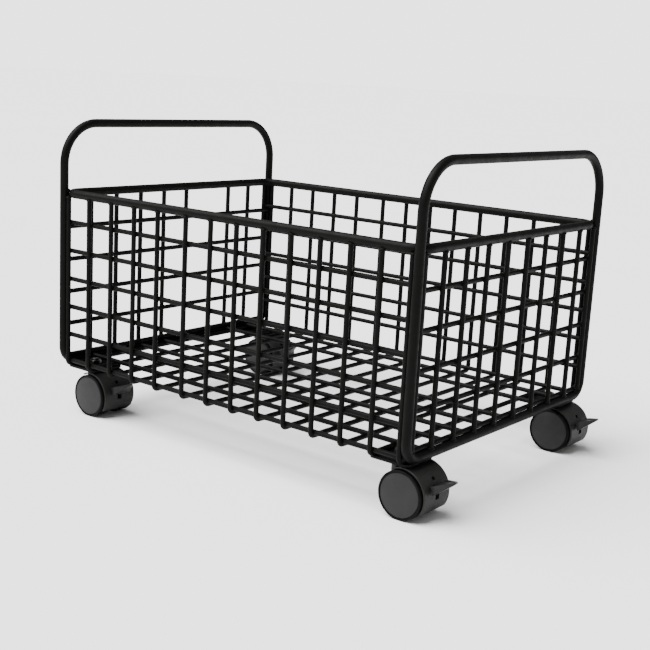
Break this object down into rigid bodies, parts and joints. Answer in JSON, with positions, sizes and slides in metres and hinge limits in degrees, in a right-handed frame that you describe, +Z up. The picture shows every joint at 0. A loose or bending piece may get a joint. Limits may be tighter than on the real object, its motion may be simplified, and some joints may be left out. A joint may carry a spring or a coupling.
{
  "type": "computer tower trolley basket",
  "caption": "Wire mesh basket on braked twin-wheel swivel casters, with a raised handle loop at each end, that carries a computer tower.",
  "frame": {"origin": "on the floor under the middle of the basket", "axes": "+X along the basket's length towards the brake levers' tips, +Y towards the back side, +Z up"},
  "size_m": [0.5457, 0.37, 0.348],
  "materials": {
    "basket_coating": "black satin powder coat",
    "caster_housing": "dark grey fine-textured nylon",
    "wheel_core": "dark grey moulded nylon, slight sheen",
    "wheel_tread": "black polyurethane",
    "brake_lever": "dark grey nylon",
    "stem_steel": "black zinc plate",
    "pin_steel": "plain ground steel",
    "clip_steel": "dark spring steel"
  },
  "bodies": {
    "basket": {"left_end_frame": "basket_coating", "right_end_frame": "basket_coating", "top_rim": "basket_coating", "cross_wires": "basket_coating", "front_rails": "basket_coating", "back_rails": "basket_coating", "floor_wires": "basket_coating", "left_end_uprights": "basket_coating", "right_end_uprights": "basket_coating", "left_end_rungs": "basket_coating", "right_end_rungs": "basket_coating", "stem_nuts": "stem_steel", "stem_washers": "stem_steel", "front_left_plate": "basket_coating", "front_left_stem": "stem_steel", "front_right_plate": "basket_coating", "front_right_stem": "stem_steel", "back_left_plate": "basket_coating", "back_left_stem": "stem_steel", "back_right_plate": "basket_coating", "back_right_stem": "stem_steel"},
    "front_left_caster": {"front_left_housing": "caster_housing", "front_left_stem_clip": "clip_steel", "front_left_axle": "pin_steel", "front_left_lever_pin": "pin_steel"},
    "front_left_wheel_front": {"front_left_wheel_front": "wheel_core", "front_left_tread_front": "wheel_tread"},
    "front_left_wheel_back": {"front_left_wheel_back": "wheel_core", "front_left_tread_back": "wheel_tread"},
    "front_left_brake_lever": {"front_left_brake_lever": "brake_lever"},
    "front_right_caster": {"front_right_housing": "caster_housing", "front_right_stem_clip": "clip_steel", "front_right_axle": "pin_steel", "front_right_lever_pin": "pin_steel"},
    "front_right_wheel_front": {"front_right_wheel_front": "wheel_core", "front_right_tread_front": "wheel_tread"},
    "front_right_wheel_back": {"front_right_wheel_back": "wheel_core", "front_right_tread_back": "wheel_tread"},
    "front_right_brake_lever": {"front_right_brake_lever": "brake_lever"},
    "back_left_caster": {"back_left_housing": "caster_housing", "back_left_stem_clip": "clip_steel", "back_left_axle": "pin_steel", "back_left_lever_pin": "pin_steel"},
    "back_left_wheel_front": {"back_left_wheel_front": "wheel_core", "back_left_tread_front": "wheel_tread"},
    "back_left_wheel_back": {"back_left_wheel_back": "wheel_core", "back_left_tread_back": "wheel_tread"},
    "back_left_brake_lever": {"back_left_brake_lever": "brake_lever"},
    "back_right_caster": {"back_right_housing": "caster_housing", "back_right_stem_clip": "clip_steel", "back_right_axle": "pin_steel", "back_right_lever_pin": "pin_steel"},
    "back_right_wheel_front": {"back_right_wheel_front": "wheel_core", "back_right_tread_front": "wheel_tread"},
    "back_right_wheel_back": {"back_right_wheel_back": "wheel_core", "back_right_tread_back": "wheel_tread"},
    "back_right_brake_lever": {"back_right_brake_lever": "brake_lever"}
  },
  "joints": [
    {"name": "front_left_swivel", "type": "hinge", "parent": "basket", "child": "front_left_caster", "pos_m": [-0.226, -0.151, 0.045], "axis": [0, 0, 1], "continuous": true},
    {"name": "front_left_wheel_front_spin", "type": "hinge", "parent": "front_left_caster", "child": "front_left_wheel_front", "pos_m": [-0.209, -0.151, 0.025], "axis": [0, 1, 0], "continuous": true},
    {"name": "front_left_wheel_back_spin", "type": "hinge", "parent": "front_left_caster", "child": "front_left_wheel_back", "pos_m": [-0.209, -0.151, 0.025], "axis": [0, 1, 0], "continuous": true},
    {"name": "front_left_brake", "type": "hinge", "parent": "front_left_caster", "child": "front_left_brake_lever", "pos_m": [-0.2055, -0.151, 0.0325], "axis": [0, 1, 0], "range_deg": [0, 16]},
    {"name": "front_right_swivel", "type": "hinge", "parent": "basket", "child": "front_right_caster", "pos_m": [0.226, -0.151, 0.045], "axis": [0, 0, 1], "continuous": true},
    {"name": "front_right_wheel_front_spin", "type": "hinge", "parent": "front_right_caster", "child": "front_right_wheel_front", "pos_m": [0.243, -0.151, 0.025], "axis": [0, 1, 0], "continuous": true},
    {"name": "front_right_wheel_back_spin", "type": "hinge", "parent": "front_right_caster", "child": "front_right_wheel_back", "pos_m": [0.243, -0.151, 0.025], "axis": [0, 1, 0], "continuous": true},
    {"name": "front_right_brake", "type": "hinge", "parent": "front_right_caster", "child": "front_right_brake_lever", "pos_m": [0.2465, -0.151, 0.0325], "axis": [0, 1, 0], "range_deg": [0, 16]},
    {"name": "back_left_swivel", "type": "hinge", "parent": "basket", "child": "back_left_caster", "pos_m": [-0.226, 0.151, 0.045], "axis": [0, 0, 1], "continuous": true},
    {"name": "back_left_wheel_front_spin", "type": "hinge", "parent": "back_left_caster", "child": "back_left_wheel_front", "pos_m": [-0.209, 0.151, 0.025], "axis": [0, 1, 0], "continuous": true},
    {"name": "back_left_wheel_back_spin", "type": "hinge", "parent": "back_left_caster", "child": "back_left_wheel_back", "pos_m": [-0.209, 0.151, 0.025], "axis": [0, 1, 0], "continuous": true},
    {"name": "back_left_brake", "type": "hinge", "parent": "back_left_caster", "child": "back_left_brake_lever", "pos_m": [-0.2055, 0.151, 0.0325], "axis": [0, 1, 0], "range_deg": [0, 16]},
    {"name": "back_right_swivel", "type": "hinge", "parent": "basket", "child": "back_right_caster", "pos_m": [0.226, 0.151, 0.045], "axis": [0, 0, 1], "continuous": true},
    {"name": "back_right_wheel_front_spin", "type": "hinge", "parent": "back_right_caster", "child": "back_right_wheel_front", "pos_m": [0.243, 0.151, 0.025], "axis": [0, 1, 0], "continuous": true},
    {"name": "back_right_wheel_back_spin", "type": "hinge", "parent": "back_right_caster", "child": "back_right_wheel_back", "pos_m": [0.243, 0.151, 0.025], "axis": [0, 1, 0], "continuous": true},
    {"name": "back_right_brake", "type": "hinge", "parent": "back_right_caster", "child": "back_right_brake_lever", "pos_m": [0.2465, 0.151, 0.0325], "axis": [0, 1, 0], "range_deg": [0, 16]}
  ]
}
